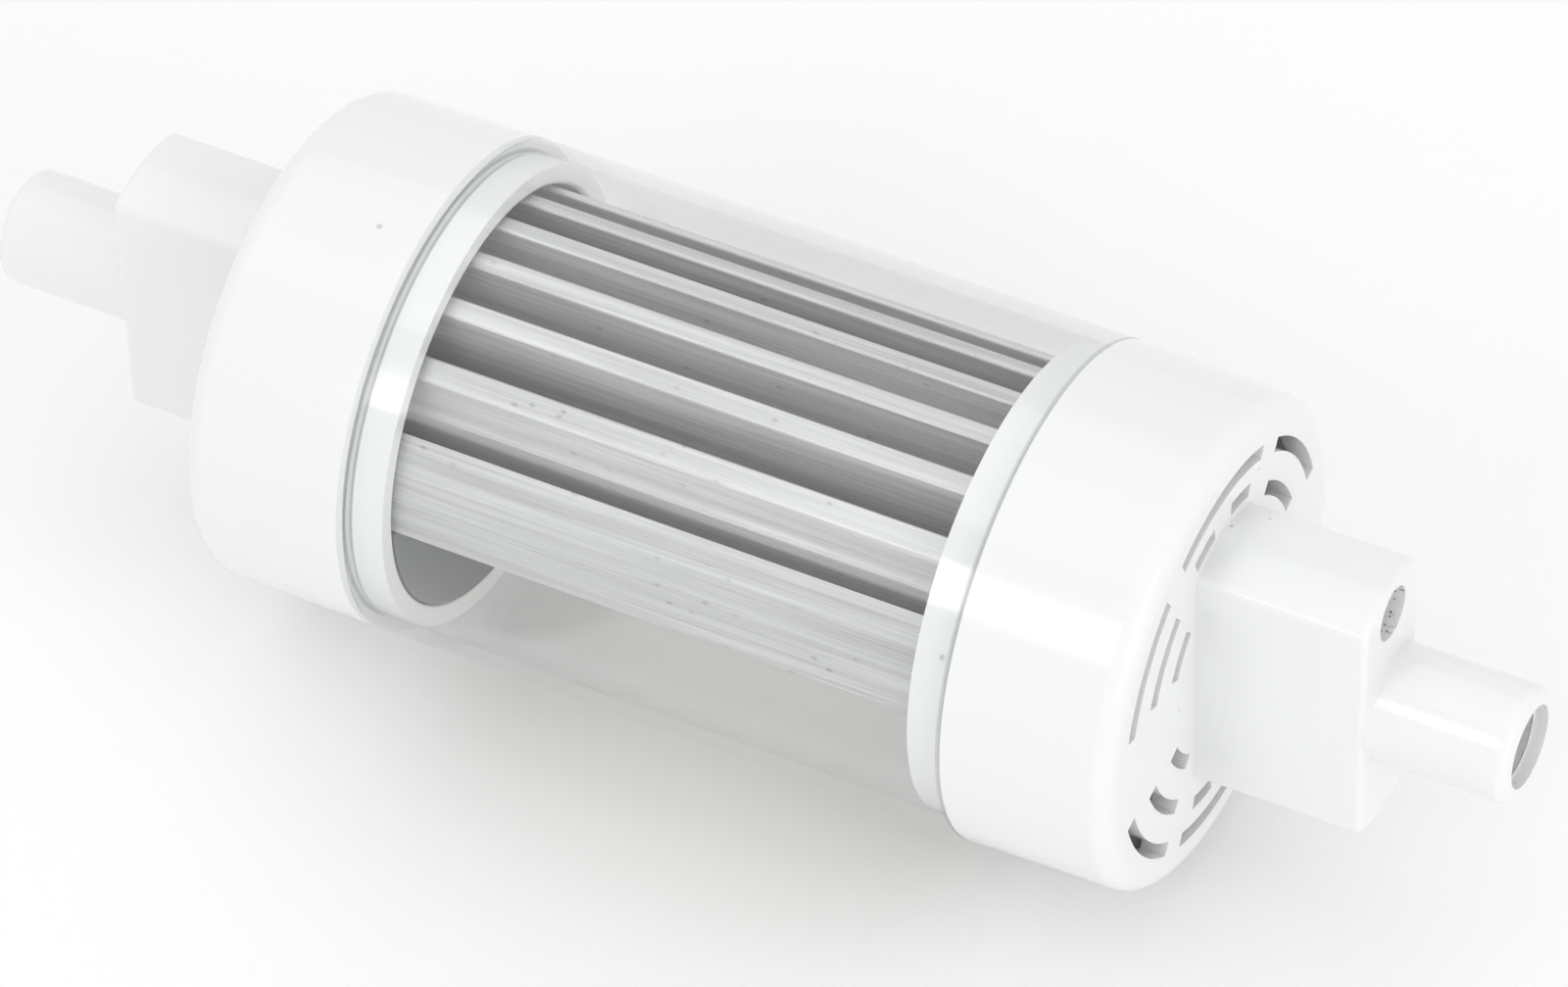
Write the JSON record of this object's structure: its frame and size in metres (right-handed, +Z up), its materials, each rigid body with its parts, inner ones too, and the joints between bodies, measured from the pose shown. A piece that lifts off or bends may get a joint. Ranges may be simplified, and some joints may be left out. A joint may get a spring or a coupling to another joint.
{
  "type": "linear led bulb",
  "caption": "Double-ended linear LED bulb: vented white end caps with recessed contact stubs, clear tube round a finned heat sink, lit from the flat side",
  "frame": {"origin": "centre of the tube on its axis, which is the middle of the bounding box", "axes": "X runs along the bulb, +X at the end without the driver, Z points up through the fins and the light leaves towards -Z"},
  "size_m": [0.118, 0.0364, 0.0364],
  "materials": {
    "cap_plastic": "smooth white moulding",
    "clear_cover": "clear, polished",
    "sink_aluminium": "plain extruded, faint lengthwise die lines",
    "pad_silicone": "soft grey pad",
    "white_board": "white solder mask",
    "led_body": "white moulded package",
    "phosphor": "yellow silicone, slightly glossy",
    "screw_steel": "zinc plated",
    "contact_plating": "bright nickel plating",
    "divider_plastic": "dark grey moulding",
    "green_board": "green solder mask",
    "capacitor_sleeve": "shrink sleeve",
    "ferrite": "sintered, matte",
    "copper_wire": "enamelled copper winding",
    "chip_plastic": "black moulding",
    "resistor_coat": "flameproof coat",
    "lead_insulation": "off-white silicone sleeve",
    "tinned_wire": "tinned copper"
  },
  "bodies": {
    "root": {"left_end_cap": "cap_plastic", "right_end_cap": "cap_plastic", "clear_tube": "clear_cover", "heat_sink": "sink_aluminium", "thermal_pad": "pad_silicone", "led_board": "white_board", "led_packages": "led_body", "led_phosphor_windows": "phosphor", "board_screws": "screw_steel", "left_contact": "contact_plating", "right_contact": "contact_plating", "left_cap_screw": "screw_steel", "right_cap_screw": "screw_steel", "left_divider": "divider_plastic", "right_divider": "divider_plastic", "driver_board": "green_board", "smoothing_capacitor": "capacitor_sleeve", "inductor_core": "ferrite", "inductor_winding": "copper_wire", "bridge_rectifier": "chip_plastic", "control_chip": "chip_plastic", "fusible_resistor": "resistor_coat", "chip_resistors": "chip_plastic", "left_mains_lead": "lead_insulation", "right_mains_lead": "lead_insulation", "led_supply_lead": "tinned_wire", "led_return_lead": "tinned_wire"}
  },
  "joints": []
}
